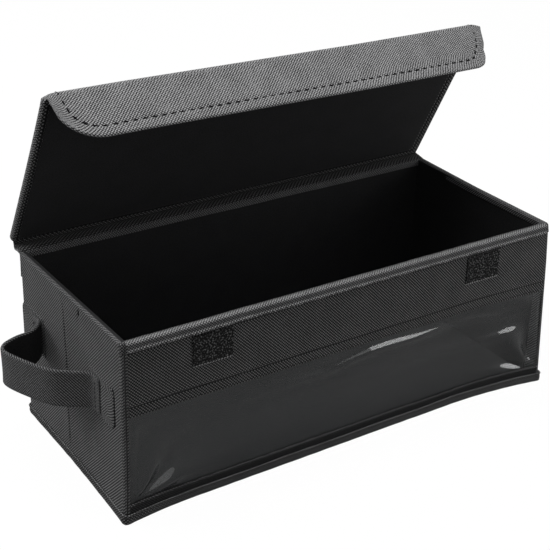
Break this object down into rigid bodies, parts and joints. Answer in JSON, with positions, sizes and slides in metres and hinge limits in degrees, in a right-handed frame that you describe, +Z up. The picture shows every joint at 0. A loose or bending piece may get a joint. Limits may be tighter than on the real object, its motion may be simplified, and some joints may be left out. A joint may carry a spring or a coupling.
{
  "type": "cd storage box",
  "caption": "Cloth-covered storage box for CD jewel cases, with a clear front window, a hinged lid with a hook-and-loop flap, and a strap handle on each end.",
  "frame": {"origin": "centre of the underside of the box, handles and lid left out of account", "axes": "+X along the length towards the right end, +Y towards the lid hinge at the back, +Z up"},
  "size_m": [0.437, 0.1709, 0.2627],
  "materials": {
    "body_cloth": "black non-woven cloth with a pressed diagonal weave",
    "end_cloth": "dark grey non-woven cloth with pressed diagonal ribs",
    "lid_cloth": "grey non-woven cloth with a pressed dot weave",
    "lining": "black fine cloth lining",
    "board": "grey paperboard",
    "clear_film": "clear flexible film",
    "hook_and_loop": "black hook-and-loop tape",
    "thread": "black sewing thread"
  },
  "bodies": {
    "case": {"base_cover": "body_cloth", "bottom_binding": "body_cloth", "front_cover": "body_cloth", "front_board": "board", "front_lining": "lining", "window_film": "clear_film", "window_hem": "body_cloth", "window_bottom_strip": "body_cloth", "back_cover": "body_cloth", "back_board": "board", "back_lining": "lining", "left_end_cover": "end_cloth", "left_end_board_front": "board", "left_end_board_rear": "board", "left_end_lining": "lining", "right_end_cover": "end_cloth", "right_end_board_front": "board", "right_end_board_rear": "board", "right_end_lining": "lining", "front_corner_seams": "body_cloth", "back_corner_seams": "body_cloth", "rim_binding": "body_cloth", "rim_stitching": "thread", "left_loop_patch": "hook_and_loop", "right_loop_patch": "hook_and_loop", "left_handle_patches": "end_cloth", "left_handle_roots": "end_cloth", "right_handle_patches": "end_cloth", "right_handle_roots": "end_cloth", "hinge_strip_outer": "lid_cloth", "hinge_strip_inner": "lining"},
    "floor_insert": {"floor_board": "board", "floor_board_cover": "lining"},
    "left_handle": {"left_handle_loop": "end_cloth"},
    "right_handle": {"right_handle_loop": "end_cloth"},
    "lid": {"lid_board": "board", "lid_cover": "lid_cloth", "lid_lining": "lining", "lid_stitching": "thread", "lid_fold": "lid_cloth"},
    "flap": {"flap_board": "board", "flap_cover": "lid_cloth", "flap_lining": "lining", "flap_stitching": "thread", "left_hook_patch": "hook_and_loop", "right_hook_patch": "hook_and_loop"}
  },
  "joints": [
    {"name": "lid_hinge", "type": "hinge", "parent": "case", "child": "lid", "pos_m": [0, 0.0788, 0.116], "axis": [-1, 0, 0], "range_deg": [-60, 140], "deforming": ["hinge_strip_outer", "hinge_strip_inner"]},
    {"name": "flap_fold", "type": "hinge", "parent": "lid", "child": "flap", "pos_m": [0, 0.01575, 0.26181], "axis": [-1, 0, 0], "range_deg": [0, 180], "deforming": ["lid_fold"]},
    {"name": "left_handle_swing", "type": "hinge", "parent": "case", "child": "left_handle", "pos_m": [-0.1812, 0, 0.0785], "axis": [0, 1, 0], "range_deg": [-45, 45], "deforming": ["left_handle_roots"]},
    {"name": "right_handle_swing", "type": "hinge", "parent": "case", "child": "right_handle", "pos_m": [0.1812, 0, 0.0785], "axis": [0, -1, 0], "range_deg": [-45, 45], "deforming": ["right_handle_roots"]},
    {"name": "floor_lift", "type": "slide", "parent": "case", "child": "floor_insert", "axis": [0, 0, 1], "range_m": [0, 0.12]}
  ]
}
